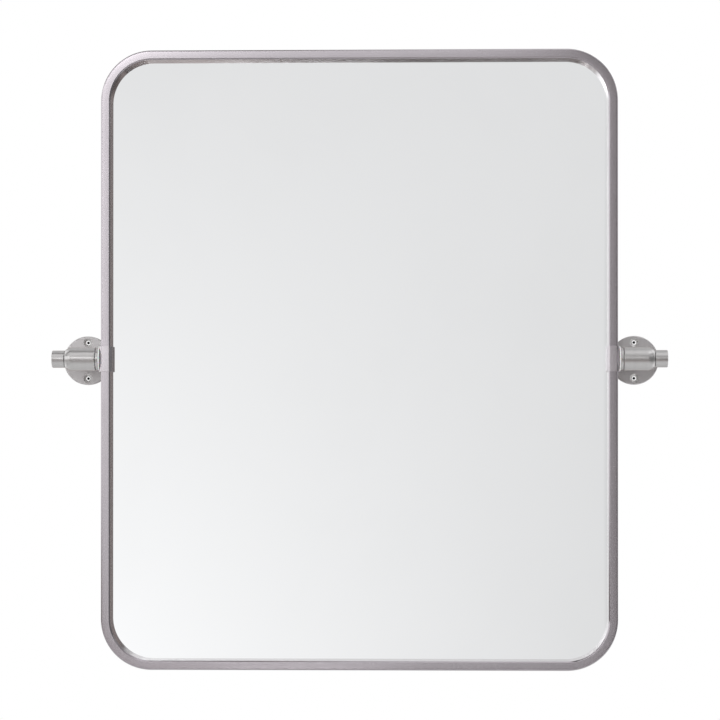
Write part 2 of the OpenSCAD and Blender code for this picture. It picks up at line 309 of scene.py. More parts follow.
# %% Brushed streaks: noise drawn out along one direction
streaks, given, out = new_group(
    "brushed_streaks",
    [("Place", "NodeSocketVector", (0, 0, 0)), ("Per metre", "NodeSocketVector", (20, 3000, 20))],
    ["Fine", "Broad"])
scaled = node(streaks, "ShaderNodeVectorMath", {0: given["Place"], 1: given["Per metre"]},
              operation="MULTIPLY").outputs[0]
fine = node(streaks, "ShaderNodeTexNoise", {"Vector": scaled, "Scale": 1.0, "Detail": 3.0,
                                            "Roughness": 0.7})
coarser = node(streaks, "ShaderNodeVectorMath", {0: scaled, "Scale": 0.22}, operation="SCALE").outputs[0]
broad = node(streaks, "ShaderNodeTexNoise", {"Vector": coarser, "Scale": 1.0, "Detail": 2.0})
feed(streaks, fine.outputs["Fac"], out["Fine"])
feed(streaks, broad.outputs["Fac"], out["Broad"])

# %% Satin speckle: the tiny pits of a blasted surface
speckle, given, out = new_group(
    "satin_speckle",
    [("Place", "NodeSocketVector", (0, 0, 0)), ("Per metre", "NodeSocketFloat", 1500.0)],
    ["Pits", "Clouds"])
pits = node(speckle, "ShaderNodeTexNoise", {"Vector": given["Place"], "Scale": given["Per metre"],
                                            "Detail": 4.0, "Roughness": 0.75})
clouds_scale = maths(speckle, "MULTIPLY", given["Per metre"], 0.12)
clouds = node(speckle, "ShaderNodeTexNoise", {"Vector": given["Place"], "Scale": clouds_scale,
                                              "Detail": 2.0})
feed(speckle, pits.outputs["Fac"], out["Pits"])
feed(speckle, clouds.outputs["Fac"], out["Clouds"])

# %% Handling haze: soft patches where a surface has been wiped or touched
haze, given, out = new_group(
    "handling_haze",
    [("Place", "NodeSocketVector", (0, 0, 0)), ("Per metre", "NodeSocketFloat", 25.0)],
    ["Haze"])
patches = node(haze, "ShaderNodeTexNoise", {"Vector": given["Place"], "Scale": given["Per metre"],
                                            "Detail": 3.0, "Distortion": 0.6})
soft = node(haze, "ShaderNodeMapRange", {"Value": patches.outputs["Fac"], "From Min": 0.4,
                                         "From Max": 0.75}, interpolation_type="SMOOTHSTEP")
feed(haze, soft.outputs["Result"], out["Haze"])
print("node groups:", [group.name for group in bpy.data.node_groups])

# %% [markdown]
# ## Brushed and satin nickel
# Every metal part that shows is satin nickel. A belt brushes the frame along its length, a lathe
# leaves rings on the turned parts, and the plates are blasted. The belt doesn't reach the frame's
# inner wall, which stays as the sheet was rolled: smoother, and a little lighter. The marks lie in
# one direction, so the gloss is anisotropic: highlights smear across the marks and stay sharp along
# them.

# %% The nickel finish
ROSY_NICKEL = ((0.41, 0.383, 0.408, 1), (0.46, 0.430, 0.457, 1))
LIP_NICKEL = ((0.56, 0.527, 0.545, 1), (0.62, 0.587, 0.605, 1))
STRAP_NICKEL = ((0.52, 0.490, 0.517, 1), (0.58, 0.548, 0.577, 1))
NEUTRAL_NICKEL = ((0.535, 0.527, 0.526, 1), (0.595, 0.587, 0.586, 1))
PLATE_NICKEL = ((0.58, 0.565, 0.571, 1), (0.64, 0.625, 0.631, 1))
CUT_NICKEL = ((0.84, 0.835, 0.83, 1), (0.90, 0.895, 0.89, 1))
ACROSS_THE_MARKS = 0.25
MARK_DEPTH = 0.02 * MM
BROAD_SHARE, FINE_SHARE = 0.6, 0.4
TONE_SPREAD = (-0.4, 1.4)
ROUGH_SPREAD = 0.03
WIPED_ROUGH = 0.02


def nickel(name, tones, place, per_metre, tangent, roughness, anisotropy, bump, speckled=0.0):
    """A nickel finish whose streaks follow a place vector, drawn out by per_metre."""
    material = bpy.data.materials.new(name)
    material.use_nodes = True
    tree = material.node_tree
    shader = tree.nodes["Principled BSDF"]
    source = node(tree, place[0], **place[1]).outputs[place[2]]
    marks = use_group(tree, streaks, {"Place": source, "Per metre": per_metre})
    where = node(tree, "ShaderNodeTexCoord").outputs["Object"]
    wiped = use_group(tree, haze, {"Place": where})["Haze"]
    grain = use_group(tree, speckle, {"Place": where})
    mixed = node(tree, "ShaderNodeMix", {0: speckled, 2: marks["Fine"], 3: grain["Pits"]})
    tone = maths(tree, "ADD", maths(tree, "MULTIPLY", marks["Broad"], BROAD_SHARE),
                 maths(tree, "MULTIPLY", mixed.outputs[0], FINE_SHARE))
    colour = node(tree, "ShaderNodeMix", {"Factor": stretch_range(tree, tone, *TONE_SPREAD),
                                          "A": tones[0], "B": tones[1]}, data_type="RGBA")
    # the colour mix has its colour sockets after those for numbers and vectors
    feed(tree, colour.outputs[2], shader.inputs["Base Color"])
    marked = stretch_range(tree, mixed.outputs[0], roughness - ROUGH_SPREAD, roughness + ROUGH_SPREAD)
    rough = maths(tree, "ADD", marked, maths(tree, "MULTIPLY", wiped, WIPED_ROUGH))
    feed(tree, rough, shader.inputs["Roughness"])
    height = node(tree, "ShaderNodeBump", {"Height": mixed.outputs[0], "Strength": bump,
                                           "Distance": MARK_DEPTH})
    feed(tree, height.outputs["Normal"], shader.inputs["Normal"])
    feed(tree, node(tree, "ShaderNodeTangent", **tangent).outputs[0], shader.inputs["Tangent"])
    shader.inputs["Metallic"].default_value = 1.0
    shader.inputs["Anisotropic"].default_value = anisotropy
    shader.inputs["Anisotropic Rotation"].default_value = ACROSS_THE_MARKS
    return material


# where a nickel's marks are placed from, and the direction in which they lie
BY_UV = ("ShaderNodeUVMap", {"uv_map": "grain"}, "UV")
BY_OBJECT = ("ShaderNodeTexCoord", {}, "Object")
ALONG_UV = {"direction_type": "UV_MAP", "uv_map": "grain"}
ROUND_X = {"direction_type": "RADIAL", "axis": "X"}
ROUND_Y = {"direction_type": "RADIAL", "axis": "Y"}

rail_nickel = nickel("brushed_rail_nickel", ROSY_NICKEL, BY_UV, (18, 1400, 0), ALONG_UV,
                     roughness=0.15, anisotropy=0.6, bump=0.06)
lip_nickel = nickel("rolled_lip_nickel", LIP_NICKEL, BY_UV, (18, 1400, 0), ALONG_UV,
                    roughness=0.11, anisotropy=0.6, bump=0.06)
strap_nickel = nickel("brushed_strap_nickel", STRAP_NICKEL, BY_UV, (25, 1400, 0), ALONG_UV,
                      roughness=0.19, anisotropy=0.6, bump=0.10)
turned_nickel = nickel("turned_nickel", NEUTRAL_NICKEL, BY_OBJECT, (1600, 45, 45), ROUND_X,
                       roughness=0.30, anisotropy=0.6, bump=0.06)
post_nickel = nickel("turned_post_nickel", NEUTRAL_NICKEL, BY_OBJECT, (45, 1600, 45), ROUND_Y,
                     roughness=0.25, anisotropy=0.6, bump=0.06)
plate_nickel = nickel("blasted_plate_nickel", PLATE_NICKEL, BY_OBJECT, (45, 2600, 45), ROUND_Y,
                      roughness=0.42, anisotropy=0.0, bump=0.4, speckled=0.85)
cut_nickel = nickel("bright_cut_nickel", CUT_NICKEL, BY_OBJECT, (60, 2600, 60), ROUND_Y,
                    roughness=0.35, anisotropy=0.2, bump=0.15)
print("nickels:", [material.name for material in bpy.data.materials if "nickel" in material.name])

# %% [markdown]
# ## Glass, board, foam, nylon and zinc
# The mirror glass is a plain mirror with the faint green of float glass. The board behind it is
# pressed fibre, the pad is closed-cell foam, and the hidden hardware is zinc-plated.

# %% Start a plain finish, and give it two tones and a bump
def plain_material(name, roughness, metallic=0.0):
    """A new material, with its tree, its shader and the place on the object."""
    material = bpy.data.materials.new(name)
    material.use_nodes = True
    shader = material.node_tree.nodes["Principled BSDF"]
    shader.inputs["Roughness"].default_value = roughness
    shader.inputs["Metallic"].default_value = metallic
    where = node(material.node_tree, "ShaderNodeTexCoord").outputs["Object"]
    return material, material.node_tree, shader, where


def two_tone(tree, shader, value, first, second):
    """Base colour between two colours, by a value from 0 to 1."""
    mix = node(tree, "ShaderNodeMix", {"Factor": value}, data_type="RGBA")
    mix.inputs["A"].default_value = first
    mix.inputs["B"].default_value = second
    feed(tree, mix.outputs[2], shader.inputs["Base Color"])


def bumped(tree, shader, height, strength, depth):
    bump = node(tree, "ShaderNodeBump", {"Height": height, "Strength": strength, "Distance": depth})
    feed(tree, bump.outputs["Normal"], shader.inputs["Normal"])


# %% Silvered glass and its ground edge
silvered_glass, tree, shader, where = plain_material("silvered_glass", 0.0, metallic=1.0)
wiped = use_group(tree, haze, {"Place": where, "Per metre": 9.0})["Haze"]
two_tone(tree, shader, wiped, (0.916, 0.922, 0.930, 1), (0.906, 0.912, 0.920, 1))
feed(tree, stretch_range(tree, wiped, 0.0, 0.012), shader.inputs["Roughness"])

ground_edge, tree, shader, where = plain_material("ground_glass_edge", 0.5)
two_tone(tree, shader, use_group(tree, speckle, {"Place": where})["Pits"],
         (0.45, 0.62, 0.55, 1), (0.62, 0.75, 0.70, 1))

# %% Pressed fibre board and closed-cell foam
fibre_board, tree, shader, where = plain_material("pressed_fibre_board", 0.8)
fibres = use_group(tree, speckle, {"Place": where, "Per metre": 420.0})
two_tone(tree, shader, stretch_range(tree, fibres["Pits"], -0.6, 1.6),
         (0.045, 0.038, 0.033, 1), (0.105, 0.092, 0.082, 1))
bumped(tree, shader, fibres["Pits"], 0.5, 0.15 * MM)

closed_foam, tree, shader, where = plain_material("closed_cell_foam", 0.75)
cells = node(tree, "ShaderNodeTexVoronoi", {"Vector": where, "Scale": 900.0})
two_tone(tree, shader, cells.outputs["Distance"], (0.83, 0.83, 0.82, 1), (0.9, 0.9, 0.9, 1))
bumped(tree, shader, cells.outputs["Distance"], 0.4, 0.2 * MM)

# %% White nylon and zinc-plated steel
white_nylon, tree, shader, where = plain_material("white_nylon", 0.42)
rings = use_group(tree, streaks, {"Place": where, "Per metre": (400, 900, 900)})
two_tone(tree, shader, rings["Fine"], (0.86, 0.86, 0.85, 1), (0.93, 0.93, 0.93, 1))
shader.inputs["Subsurface Weight"].default_value = 0.15
shader.inputs["Subsurface Scale"].default_value = 1 * MM

zinc, tree, shader, where = plain_material("zinc_plated_steel", 0.34, metallic=1.0)
spangle = use_group(tree, speckle, {"Place": where, "Per metre": 900.0})
two_tone(tree, shader, stretch_range(tree, spangle["Clouds"], -0.5, 1.5),
         (0.60, 0.60, 0.57, 1), (0.66, 0.69, 0.72, 1))
feed(tree, stretch_range(tree, spangle["Pits"], 0.24, 0.42), shader.inputs["Roughness"])
bumped(tree, shader, spangle["Pits"], 0.3, 0.03 * MM)
print("materials:", len(bpy.data.materials))

# %% [markdown]
# ## The channel frame
# The real frame is one long steel channel, brushed along its length, bent round four corners and
# welded at the bottom. A sweep along a curve could make it, but a flat plate tells the story
# better: round its corners, keep the outer band, and pull the two walls back from its edges.
# Solidify then gives the sheet its thickness.

# %% How far in from the outline, and how far round the frame
def inward(spot):
    """How far a spot lies inside the frame's outline, seen from the front."""
    over_x = abs(spot.x) - (HALF_W - CORNER_R)
    over_z = abs(spot.z - MID_Z) - (HALF_H - CORNER_R)
    return CORNER_R - math.hypot(max(over_x, 0), max(over_z, 0)) - min(max(over_x, over_z), 0)


def way_round(spot):
    """Distance round the right half of the frame, from the top middle to the bottom middle."""
    x, z = abs(spot.x), spot.z - MID_Z
    run_x, run_z = HALF_W - CORNER_R, HALF_H - CORNER_R
    bend = CORNER_R * math.pi / 2
    if x <= run_x:
        return x if z > 0 else 2 * (run_x + bend + run_z) - x
    if z > run_z:
        return run_x + CORNER_R * math.atan2(x - run_x, z - run_z)
    if z >= -run_z:
        return run_x + bend + run_z - z
    return run_x + bend + 2 * run_z + CORNER_R * math.atan2(-run_z - z, x - run_x)


def lay_grain(piece, along_across):
    """Writes the UV map that the brushing follows: U runs along the marks and V across, in metres."""
    layer = piece.data.uv_layers.get("grain") or piece.data.uv_layers.new(name="grain")
    for face in piece.data.polygons:
        for corner in face.loop_indices:
            spot = piece.data.vertices[piece.data.loops[corner].vertex_index].co
            layer.data[corner].uv = along_across(face.center, spot)


# %% Bend the frame
FACE_W = 9.2 * MM
LIP_D = 13 * MM

rail = begin("channel_rail", bpy.ops.mesh.primitive_plane_add, size=1,
             location=(0, FRONT_Y, MID_Z), rotation=(math.pi / 2, 0, 0))
bpy.ops.transform.resize(value=(2 * HALF_W, 1, 2 * HALF_H), center_override=(0, FRONT_Y, MID_Z))
bpy.ops.mesh.bevel(offset=CORNER_R, segments=CORNER_STEPS, affect="VERTICES")
bpy.ops.mesh.inset(thickness=FACE_W, depth=0)
bpy.ops.mesh.delete(type="FACE")
pick(rail, "EDGE", lambda spot: inward(spot) < NEAR)
pull((0, BACK_Y - FRONT_Y, 0))
pick(rail, "EDGE", lambda spot: inward(spot) > FACE_W - NEAR)
pull((0, LIP_D, 0))
pick(rail, "EDGE", lambda spot: inward(spot) < NEAR and spot.y < FRONT_Y + NEAR)
bpy.ops.mesh.bevel(offset=OUTER_EDGE_R, segments=8, affect="EDGES")
pick(rail, "EDGE", lambda spot: inward(spot) > FACE_W - NEAR and spot.y < FRONT_Y + NEAR)
bpy.ops.mesh.bevel(offset=INNER_EDGE_R, segments=5, affect="EDGES")
# a seam at the top and bottom middle, where the brushing of the two halves meets
bpy.ops.mesh.select_all(action="SELECT")
bpy.ops.mesh.bisect(plane_co=(0, 0, 0), plane_no=(1, 0, 0))
leave_editing()
thicken(rail, SHEET_T, use_even_offset=True)

# %% Lay its grain and drill it for the pivots
def rail_grain(face, spot):
    side = 1 if face.x >= 0 else -1
    depth = spot.y - FRONT_Y
    return side * way_round(spot), inward(spot) + (depth if inward(face) > FACE_W / 2 else -depth)


lay_grain(rail, rail_grain)
for side in (-1, 1):
    reach = side * HALF_W
    combine(rail, rod((reach - side * 3 * SHEET_T, AXIS_Y, 0), (reach + side * SHEET_T, AXIS_Y, 0),
                      BOSS_HOLE_R), "DIFFERENCE")

# %% Brush the outside, leave the inner wall as rolled
def on_lip(face):
    return inward(face.center) > FACE_W - SHEET_T / 2 and face.center.y > FRONT_Y + INNER_EDGE_R


two_finishes(rail, rail_nickel, lip_nickel, on_lip)
stand_in(rail, "frame", "brushed_nickel")

# %% [markdown]
# ## Glass and foam
# Both are rounded panels, so one function makes them: a plate with rounded corners, pulled back to
# its thickness. The glass has its sharp arrises ground off, and only its front is a mirror.

# %% A rounded panel between the planes of its node
def panel(name, node_name):
    """A plate with rounded corners that fills the box of its node."""
    low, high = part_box(node_name)
    size = high - low
    centre = (low + high) / 2
    centre.y = low.y
    piece = begin(name, bpy.ops.mesh.primitive_plane_add, size=1, location=centre,
                  rotation=(math.pi / 2, 0, 0))
    bpy.ops.transform.resize(value=(size.x, 1, size.z), center_override=centre)
    bpy.ops.mesh.bevel(offset=CORNER_R - (HALF_W - high.x), segments=CORNER_STEPS, affect="VERTICES")
    pull((0, size.y, 0))
    leave_editing()
    return piece


# %% Cut the glass and the foam
ARRIS = 0.7 * MM
FOAM_EDGE_R = 0.25 * MM

pane = panel("mirror_pane", "mirror_glass")
round_edges(pane, ARRIS, segments=1)
two_finishes(pane, ground_edge, silvered_glass, lambda face: face.normal.y < -0.99)
stand_in(pane, "mirror_glass", "mirror_glass")

pad = panel("foam_sheet", "foam_pad")
round_edges(pad, FOAM_EDGE_R)
stand_in(pad, "foam_pad", "foam", closed_foam)

# %% [markdown]
# ## Retaining tabs and their screws
# Ten angle tabs hold the board in. One is folded from a flat strip, with a bend and two rounded
# corners, and copied to its ten places. The screws are round heads with a cross recess.

# %% Places of the tabs round the frame
TAB_W = 16 * MM
SIDE_TABS = 3
END_TABS = 2


def tab_places():
    """For each tab, the turn about Y and the move that bring one from the origin to its place."""
    for quarter in range(4):
        upright = quarter % 2 == 0
        count = SIDE_TABS if upright else END_TABS
        run = 2 * ((HALF_H if upright else HALF_W) - CORNER_R - TAB_W)
        reach = (HALF_W if upright else HALF_H) - SHEET_T
        for i in range(count):
            turn_about = Matrix.Rotation(-quarter * math.pi / 2, 4, "Y")
            slide = Matrix.Translation((reach, BOARD_BACK_Y, run * ((i + 0.5) / count - 0.5)))
            yield Matrix.Translation((0, 0, MID_Z)) @ turn_about @ slide


def spread(piece):
    """Copies a piece from the origin to every tab's place, as one mesh."""
    copies = []
    for place in tab_places():
        copy = piece.copy()
        copy.data = piece.data.copy()
        copy.data.transform(place)
        bpy.context.collection.objects.link(copy)
        copies.append(copy)
    bpy.ops.object.select_all(action="DESELECT")
    for copy in copies:
        copy.select_set(True)
    bpy.context.view_layer.objects.active = copies[0]
    bpy.ops.object.join()
    joined = bpy.context.object
    name = piece.name
    bpy.data.objects.remove(piece)
    joined.name = name
    joined.data.name = name
    return joined


# %% Fold one tab
TAB_FOOT = 15 * MM
TAB_T = 1 * MM
TAB_BEND_R = 1.4 * MM
TAB_CORNER_R = 3 * MM
TAB_EDGE_R = 0.15 * MM
TAB_SCREW_R = 1.5 * MM
TAB_HEAD_R = 3 * MM
SCREW_X = 2 * TAB_HEAD_R - TAB_FOOT
LEG_GAP = 0.5 * MM
# the leg stops just inside the frame's back edge
TAB_LEG = BACK_Y - BOARD_BACK_Y - LEG_GAP

tab = begin("folded_tabs", bpy.ops.mesh.primitive_plane_add, size=1,
            location=(-TAB_FOOT / 2, 0, 0), rotation=(math.pi / 2, 0, 0))
bpy.ops.transform.resize(value=(TAB_FOOT, 1, TAB_W), center_override=(-TAB_FOOT / 2, 0, 0))
pick(tab, "EDGE", lambda spot: spot.x > -NEAR)
pull((0, TAB_LEG, 0))
pick(tab, "EDGE", lambda spot: spot.x > -NEAR and spot.y < NEAR and abs(spot.z) < NEAR)
bpy.ops.mesh.bevel(offset=TAB_BEND_R, segments=5, affect="EDGES")
pick(tab, "VERT", lambda spot: spot.x < NEAR - TAB_FOOT)
bpy.ops.mesh.bevel(offset=TAB_CORNER_R, segments=5, affect="VERTICES")
leave_editing()
thicken(tab, TAB_T)
combine(tab, rod((SCREW_X, -TAB_T, 0), (SCREW_X, 2 * TAB_T, 0), TAB_SCREW_R + SEAT_FIT, sides=32),
        "DIFFERENCE")
round_edges(tab, TAB_EDGE_R, segments=2)
stand_in(spread(tab), "retaining_tabs", "zinc_steel", zinc)

# %% [markdown]
# ## Turning
# A lathe part is a half section spun about its axis. The section is drawn as a chain: a primitive
# is merged to its first point, and each further point is an extrusion of the last one. Rounded
# stretches come from a formula.

# %% Draw a half section and spin it
TURN_SIDES = 96
MERGE = 0.001 * MM


def arc(distance, radius, bend_r, start, end, steps):
    """Points of a rounded stretch about (distance, radius), from one angle to another in degrees."""
    angles = [math.radians(start + (end - start) * i / steps) for i in range(steps + 1)]
    return [(distance + bend_r * math.cos(a), radius + bend_r * math.sin(a)) for a in angles]


def turn(name, outline, place, centre, axis, sides=TURN_SIDES):
    """Spins an outline of (distance along the axis, radius) points."""
    spots = [Vector(place(*point)) for point in outline]
    piece = begin(name, bpy.ops.mesh.primitive_plane_add, size=MM, location=spots[0])
    bpy.ops.mesh.merge(type="CENTER")
    for before, after in zip(spots, spots[1:]):
        pull(after - before)
    bpy.ops.mesh.select_all(action="SELECT")
    bpy.ops.mesh.spin(steps=sides, angle=2 * math.pi, center=centre, axis=axis)
    bpy.ops.mesh.select_all(action="SELECT")
    bpy.ops.mesh.remove_doubles(threshold=MERGE)
    leave_editing()
    return piece


def turn_on_pivot(name, outline):
    """A part turned about the pivot axis. Distances are X."""
    return turn(name, outline, lambda x, r: (x, AXIS_Y - r, 0), (0, AXIS_Y, 0), (1, 0, 0))


def turn_on_post(name, outline, x=POST_X, z=0, sides=TURN_SIDES):
    """A part turned about a line from the wall to the viewer. Distances are Y."""
    return turn(name, outline, lambda y, r: (x + r, y, z), (x, 0, z), (0, 1, 0), sides)


# %% Screws for the tabs: a domed head on a short shank
def cross_recess(piece, x, y, half_l, half_w, depth):
    """Sinks a cross recess into a head that looks along Y, from the plane y inwards."""
    for half_x, half_z in ((half_l, half_w), (half_w, half_l)):
        begin("recess", bpy.ops.mesh.primitive_cube_add, size=2, location=(x, y, 0))
        bpy.ops.transform.resize(value=(half_x, depth, half_z), center_override=(x, y, 0))
        bpy.ops.object.mode_set(mode="OBJECT")
        combine(piece, bpy.context.object, "DIFFERENCE")


TAB_HEAD_T = 1.6 * MM
TAB_SCREW_L = 2.9 * MM
TAB_SCREW_POINT = 0.4 * MM
TAB_RECESS = (1.5 * MM, 0.4 * MM, 1.0 * MM)

head_top = TAB_T + TAB_HEAD_T
DOME_R = (TAB_HEAD_R**2 + TAB_HEAD_T**2) / (2 * TAB_HEAD_T)
dome_half = math.degrees(math.asin(TAB_HEAD_R / DOME_R))
dome = arc(head_top - DOME_R, 0, DOME_R, 0, dome_half, 8)
dome[0] = (head_top, 0)
tab_screw = turn_on_post("domed_screws", dome + [
    (TAB_T, TAB_SCREW_R), (TAB_SCREW_POINT - TAB_SCREW_L, TAB_SCREW_R), (-TAB_SCREW_L, 0)],
    x=SCREW_X, sides=32)
cross_recess(tab_screw, SCREW_X, head_top, *TAB_RECESS)
stand_in(spread(tab_screw), "tab_screws", "zinc_steel", zinc)

# %% [markdown]
# ## Saddles
# A saddle is a steel strap bent over the rail where the pivot passes. Like the frame, it starts as
# the flat part that faces the viewer. A cheek is pulled back from either side, the bends are
# beveled, and Solidify gives the thickness.

# %% The strap's size, and where its bends are
SADDLE_T = 1.4 * MM
CHEEK_GAP = 0.5 * MM
SADDLE_CORNER_R = 3 * MM
SADDLE_EDGE_R = 0.18 * MM

saddle_size = saddle_high - saddle_low
saddle_mid = (saddle_low + saddle_high) / 2
saddle_mid.y = saddle_low.y
CHEEK_D = GLASS_FRONT_Y - CHEEK_GAP - saddle_low.y


def on_outer(spot):
    return spot.x > saddle_high.x - NEAR


def on_inner(spot):
    return spot.x < saddle_low.x + NEAR


def at_front(spot):
    return spot.y < saddle_low.y + NEAR


# %% Bend a saddle
strap = begin("saddle_strap", bpy.ops.mesh.primitive_plane_add, size=1, location=saddle_mid,
              rotation=(math.pi / 2, 0, 0))
bpy.ops.transform.resize(value=(saddle_size.x, 1, saddle_size.z), center_override=saddle_mid)
pick(strap, "EDGE", on_outer)
pull((0, saddle_size.y, 0))
pick(strap, "EDGE", on_inner)
pull((0, CHEEK_D, 0))
pick(strap, "EDGE", lambda spot: on_outer(spot) and at_front(spot))
bpy.ops.mesh.bevel(offset=OUTER_EDGE_R + SADDLE_T, segments=8, affect="EDGES")
pick(strap, "EDGE", lambda spot: on_inner(spot) and at_front(spot))
bpy.ops.mesh.bevel(offset=INNER_EDGE_R + SADDLE_T, segments=6, affect="EDGES")
pick(strap, "VERT", lambda spot: spot.y > saddle_high.y - NEAR)
bpy.ops.mesh.bevel(offset=SADDLE_CORNER_R, segments=6, affect="VERTICES")
leave_editing()
thicken(strap, SADDLE_T, use_even_offset=True)
combine(strap, rod((saddle_high.x - 2 * SADDLE_T, AXIS_Y, 0), (saddle_high.x + SADDLE_T, AXIS_Y, 0),
                   BOSS_HOLE_R), "DIFFERENCE")
round_edges(strap, SADDLE_EDGE_R, segments=2)
lay_grain(strap, lambda face, spot: (spot.z, spot.x + spot.y))
both_sides(strap, "saddle", "brushed_nickel", strap_nickel)

# %% [markdown]
# ## Washer, bush, barrel and knob
# These sit in a row on the pivot axis. Each outline starts at its bore, goes round the outside and
# comes back to its first point, so the spun part is closed, with a true bore.

# %% Nylon washer
NYLON_BORE_R = 5.1 * MM
NYLON_R = (nylon_high.z - nylon_low.z) / 2
NYLON_EDGE_R = 0.25 * MM

ring = turn_on_pivot("nylon_ring", [
    (nylon_low.x, NYLON_BORE_R), (nylon_low.x, NYLON_R), (nylon_high.x, NYLON_R),
    (nylon_high.x, NYLON_BORE_R), (nylon_low.x, NYLON_BORE_R)])
round_edges(ring, NYLON_EDGE_R)
both_sides(ring, "nylon_washer", "nylon", white_nylon)

# %% Flanged bush
BORE_R = 3.06 * MM
SLEEVE_R = 6 * MM
SLEEVE_L = 6 * MM
FLANGE_R = 10.75 * MM
CHAMFER = 0.6 * MM
BUSH_EDGE_R = 0.12 * MM

bush_x = nylon_high.x
barrel_x = barrel_low.x
bush = turn_on_pivot("flanged_bush", [
    (bush_x, BORE_R), (bush_x, FLANGE_R - CHAMFER), (bush_x + CHAMFER, FLANGE_R),
    (barrel_x - CHAMFER, FLANGE_R), (barrel_x, FLANGE_R - CHAMFER), (barrel_x, SLEEVE_R),
    (barrel_x + SLEEVE_L, SLEEVE_R), (barrel_x + SLEEVE_L, BORE_R), (bush_x, BORE_R)])
round_edges(bush, BUSH_EDGE_R, segments=2)
both_sides(bush, "bush", "turned_nickel", turned_nickel)

# %% Barrel, with its rounded shoulder and the pocket for the spring washer
SHOULDER_R = 9.5 * MM
SHOULDER_L = 6.9 * MM
POCKET_R = 6.2 * MM
POCKET_D = 3 * MM
SPIGOT_R = 5 * MM
SPIGOT_L = 7 * MM
TURNED_EDGE_R = 0.15 * MM

end_x = barrel_high.x
seat_x = barrel_x + SLEEVE_L + SEAT_FIT
lean = math.degrees(math.acos(SHOULDER_L / SHOULDER_R))
shoulder = arc(end_x - SHOULDER_L, BARREL_R - SHOULDER_R, SHOULDER_R, lean, 90, 14)
barrel = turn_on_pivot("turned_barrel", [
    (seat_x, BORE_R), (end_x - POCKET_D, BORE_R), (end_x - POCKET_D, POCKET_R), (end_x, POCKET_R)]
    + shoulder + [
    (barrel_x + CHAMFER, BARREL_R), (barrel_x, BARREL_R - CHAMFER), (barrel_x, SLEEVE_R + SEAT_FIT),
    (seat_x, SLEEVE_R + SEAT_FIT), (seat_x, BORE_R)])
round_edges(barrel, TURNED_EDGE_R)
combine(barrel, rod((POST_X, AXIS_Y + BARREL_R + MM, 0),
                    (POST_X, AXIS_Y + BARREL_R - SPIGOT_L - SEAT_FIT, 0), SPIGOT_R + SEAT_FIT),
        "DIFFERENCE")
both_sides(barrel, "barrel", "turned_nickel", turned_nickel)

# %% Knob
KNOB_L = 12.5 * MM
KNOB_R = 8.5 * MM
KNOB_CHAMFER = 0.5 * MM
NECK_R = 5.25 * MM
STUD_HOLE_R = 3.05 * MM
STUD_GRIP = 9 * MM

knob_x = knob_high.x - KNOB_L
tip_x = knob_high.x
knob = turn_on_pivot("turned_knob", [
    (knob_x + STUD_GRIP, 0), (knob_x + STUD_GRIP, STUD_HOLE_R), (knob_low.x, STUD_HOLE_R),
    (knob_low.x, NECK_R), (knob_x, NECK_R), (knob_x, KNOB_R - KNOB_CHAMFER),
    (knob_x + KNOB_CHAMFER, KNOB_R), (tip_x - KNOB_CHAMFER, KNOB_R), (tip_x, KNOB_R - KNOB_CHAMFER),
    (tip_x, 0)])
round_edges(knob, TURNED_EDGE_R)
both_sides(knob, "knob", "turned_nickel", turned_nickel)

# %% [markdown]
# ## Post, wall plate and the screw between them
# The post is turned with a hollow curve above its foot. Its other end is coped: the barrel's own
# cylinder is cut out of it, so that it seats on the barrel all round. The plate gets two
# countersunk holes, whose cut faces are left bright.

# %% Coped post
POST_R = 9.5 * MM
FOOT_R = 10.8 * MM
FOOT_RIM = 0.8 * MM
COVE_R = 6 * MM
POST_SCREW_R = 2.5 * MM

plate_face_y = plate_low.y
step_r = FOOT_R - POST_R
cove_half = math.degrees(math.acos((COVE_R - step_r) / COVE_R))
cove_top = plate_face_y - FOOT_RIM - COVE_R * math.sin(math.radians(cove_half))
cove = arc(cove_top, POST_R + COVE_R, COVE_R, 270 + cove_half, 270, 8)
post = turn_on_post("coped_post", [(plate_face_y, 0), (plate_face_y, FOOT_R),
                                   (plate_face_y - FOOT_RIM, FOOT_R)] + cove[1:] + [
    (AXIS_Y, POST_R), (AXIS_Y, 0)])
combine(post, rod((barrel_low.x - MM, AXIS_Y, 0), (barrel_high.x + MM, AXIS_Y, 0),
                  BARREL_R + SEAT_FIT, sides=TURN_SIDES), "DIFFERENCE")
combine(post, rod((POST_X, AXIS_Y + 2 * BARREL_R, 0), (POST_X, AXIS_Y + BARREL_R - SPIGOT_L, 0),
                  SPIGOT_R), "UNION")
combine(post, rod((POST_X, plate_face_y + MM, 0), (POST_X, screw_low.y - MM, 0), POST_SCREW_R + SEAT_FIT),
        "DIFFERENCE")
both_sides(post, "post", "turned_nickel", post_nickel)

# %% Wall plate with a seat for the post screw
PLATE_EDGE_R = 1.2 * MM
POST_HEAD_R = 4.7 * MM

head_y = screw_high.y
seat_r, shank_r = POST_HEAD_R + SEAT_FIT, POST_SCREW_R + SEAT_FIT
rim = arc(plate_face_y + PLATE_EDGE_R, PLATE_R - PLATE_EDGE_R, PLATE_EDGE_R, 90, 180, 8)
plate = turn_on_post("round_plate", [(0, seat_r), (0, PLATE_R)] + rim + [
    (plate_face_y, shank_r), (head_y - (seat_r - shank_r), shank_r), (head_y, seat_r), (0, seat_r)])

# %% Countersink its two holes, and leave the cut faces bright
HOLE_R = 2.2 * MM
COUNTERSINK_R = 4.3 * MM
HOLE_SPACING = 36 * MM
HOLE_PLACES = (-HOLE_SPACING / 2, HOLE_SPACING / 2)

sink = COUNTERSINK_R - HOLE_R
for hole_z in HOLE_PLACES:
    drill = turn_on_post("drill", [
        (MM, 0), (MM, HOLE_R), (plate_face_y + sink, HOLE_R), (plate_face_y - MM, COUNTERSINK_R + MM),
        (plate_face_y - MM, 0)], z=hole_z, sides=62)
    combine(plate, drill, "DIFFERENCE")


